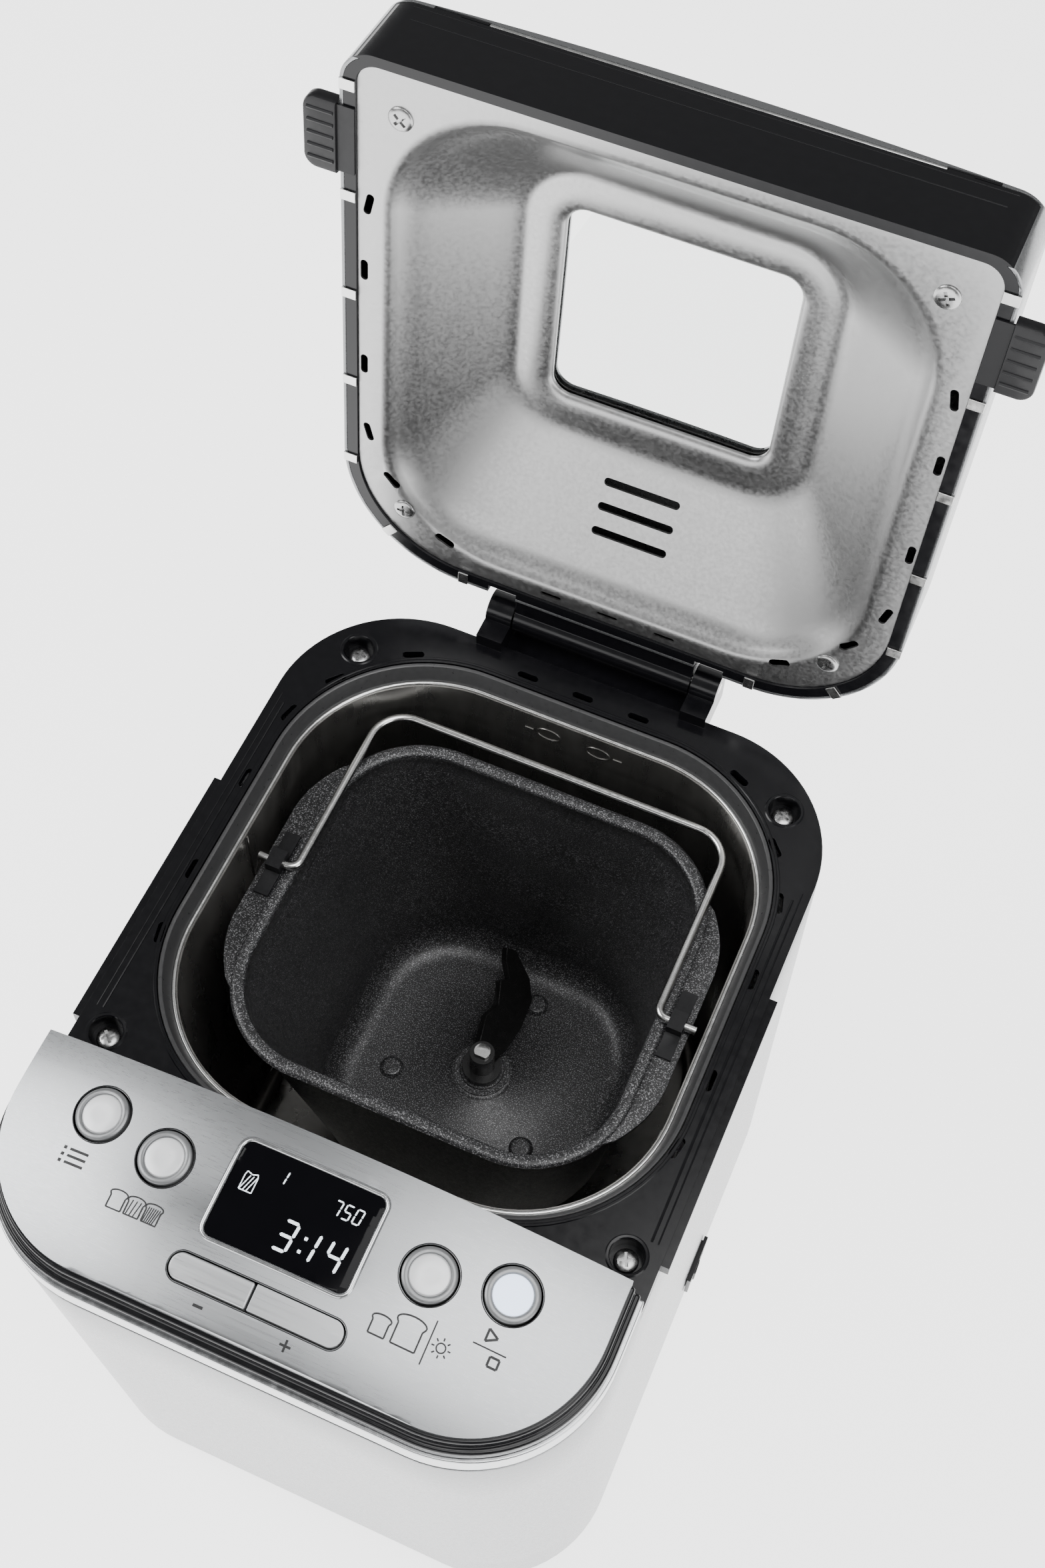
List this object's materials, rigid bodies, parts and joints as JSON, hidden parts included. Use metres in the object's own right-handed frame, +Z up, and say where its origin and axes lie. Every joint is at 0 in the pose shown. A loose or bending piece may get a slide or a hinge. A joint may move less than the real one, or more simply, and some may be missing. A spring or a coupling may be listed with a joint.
{
  "type": "bread machine",
  "caption": "Countertop bread machine with a sloping button console, a hinged windowed lid, a baking chamber and a lift-out pan with a bail and a kneading paddle.",
  "frame": {"origin": "centre of the footprint of the bounding box, on the surface the feet stand on", "axes": "+X to the right seen from the console, +Y to the back, +Z up"},
  "size_m": [0.244, 0.361, 0.4939],
  "materials": {
    "silver": "satin silver lacquer",
    "black": "semi-gloss black",
    "panel_steel": "fine brushed",
    "liner_steel": "satin",
    "display_black": "glossy black",
    "window_glass": "clear",
    "button_grey": "satin grey",
    "start_white": "translucent white",
    "ring_grey": "matte dark grey",
    "chamber_dark": "heat-darkened steel",
    "heater_metal": "oxidised sheath",
    "bright_steel": "polished",
    "plain_metal": "plain",
    "pan_coating": "speckled non-stick coating",
    "black_rubber": "matte",
    "bronze": "sintered",
    "board": "printed board",
    "motor_iron": "plain",
    "pulley_black": "moulded",
    "paddle_black": "non-stick black",
    "plate_black": "moulded"
  },
  "bodies": {
    "base": {"body_shell": "silver", "base_plate": "plate_black", "feet": "black_rubber", "base_screws": "bright_steel", "console_frame": "black", "trim_band": "silver", "console_seal": "black", "panel_plate": "panel_steel", "display_window": "display_black", "display_module": "board", "control_board": "board", "deck": "black", "deck_screws": "bright_steel", "chamber_ring": "ring_grey", "chamber_liner": "chamber_dark", "heating_element": "heater_metal", "heater_brackets": "plain_metal", "temperature_sensor": "bright_steel", "pan_lock_ring": "plain_metal", "chassis": "plain_metal", "drive_bush": "bronze", "motor_stator": "motor_iron", "power_board": "board", "cord_gland": "black_rubber", "switch_bezel": "black", "hinge_pins": "bright_steel", "drive_belt": "black_rubber"},
    "lid": {"lid_shell": "silver", "lid_frame": "black", "lid_liner": "liner_steel", "lid_window": "window_glass", "window_gasket": "black_rubber", "lid_screws": "bright_steel", "lid_grips": "black", "lid_hinge_barrel": "black", "shell_tabs": "bright_steel"},
    "washer": {"thrust_washer": "bronze"},
    "pan": {"pan": "pan_coating", "pan_base": "pan_coating", "pan_bush": "bronze", "shaft_seal": "black_rubber", "bail_brackets": "pan_coating"},
    "bail": {"bail_handle": "bright_steel"},
    "kneader": {"pan_shaft": "bright_steel"},
    "paddle": {"kneading_paddle": "paddle_black"},
    "drive": {"drive_shaft": "bright_steel", "large_pulley": "pulley_black"},
    "motor": {"motor_rotor": "motor_iron", "motor_pulley": "pulley_black"},
    "program": {"button_program": "button_grey"},
    "crust": {"button_crust": "button_grey"},
    "weight": {"button_weight": "button_grey"},
    "start": {"button_start": "start_white"},
    "minus": {"key_minus": "button_grey"},
    "plus": {"key_plus": "button_grey"},
    "rocker": {"switch_rocker": "black"}
  },
  "joints": [
    {"name": "lid_hinge", "type": "hinge", "parent": "base", "child": "lid", "pos_m": [0, 0.12819, 0.26], "axis": [-1, 0, 0], "range_deg": [-95.4, 0]},
    {"name": "pan_lift", "type": "slide", "parent": "base", "child": "washer", "axis": [0, 0, 1], "range_m": [0, 0.21]},
    {"name": "pan_turn", "type": "hinge", "parent": "washer", "child": "pan", "pos_m": [0, 0.01349, 0.072], "axis": [0, 0, 1], "range_deg": [0, 8]},
    {"name": "bail_hinge", "type": "hinge", "parent": "pan", "child": "bail", "pos_m": [0, 0.00299, 0.233], "axis": [1, 0, 0], "range_deg": [0, 160]},
    {"name": "kneader_spin", "type": "hinge", "parent": "pan", "child": "kneader", "pos_m": [0, 0.01349, 0.07], "axis": [0, 0, 1], "continuous": true},
    {"name": "paddle_lift", "type": "slide", "parent": "kneader", "child": "paddle", "axis": [0, 0, 1], "range_m": [0, 0.16]},
    {"name": "drive_spin", "type": "hinge", "parent": "base", "child": "drive", "pos_m": [0, 0.01349, 0.02], "axis": [0, 0, 1], "continuous": true},
    {"name": "motor_spin", "type": "hinge", "parent": "base", "child": "motor", "pos_m": [-0.038, -0.13551, 0.02], "axis": [0, 0, 1], "continuous": true},
    {"name": "program_press", "type": "slide", "parent": "base", "child": "program", "axis": [0, 0, 1], "range_m": [-0.0012, 0], "stiffness_N_per_m": 600, "springref_m": 0.0004},
    {"name": "crust_press", "type": "slide", "parent": "base", "child": "crust", "axis": [0, 0, 1], "range_m": [-0.0012, 0], "stiffness_N_per_m": 600, "springref_m": 0.0004},
    {"name": "weight_press", "type": "slide", "parent": "base", "child": "weight", "axis": [0, 0, 1], "range_m": [-0.0012, 0], "stiffness_N_per_m": 600, "springref_m": 0.0004},
    {"name": "start_press", "type": "slide", "parent": "base", "child": "start", "axis": [0, 0, 1], "range_m": [-0.0012, 0], "stiffness_N_per_m": 600, "springref_m": 0.0004},
    {"name": "minus_press", "type": "slide", "parent": "base", "child": "minus", "axis": [0, 0, 1], "range_m": [-0.0012, 0], "stiffness_N_per_m": 600, "springref_m": 0.0004},
    {"name": "plus_press", "type": "slide", "parent": "base", "child": "plus", "axis": [0, 0, 1], "range_m": [-0.0012, 0], "stiffness_N_per_m": 600, "springref_m": 0.0004},
    {"name": "rocker_tilt", "type": "hinge", "parent": "base", "child": "rocker", "pos_m": [0.109, -0.01151, 0.031], "axis": [0, 0, 1], "range_deg": [-12, 0]}
  ],
  "couplings": [
    {"joint": "kneader_spin", "follows": "drive_spin", "ratio": 1},
    {"joint": "motor_spin", "follows": "drive_spin", "ratio": 4}
  ]
}
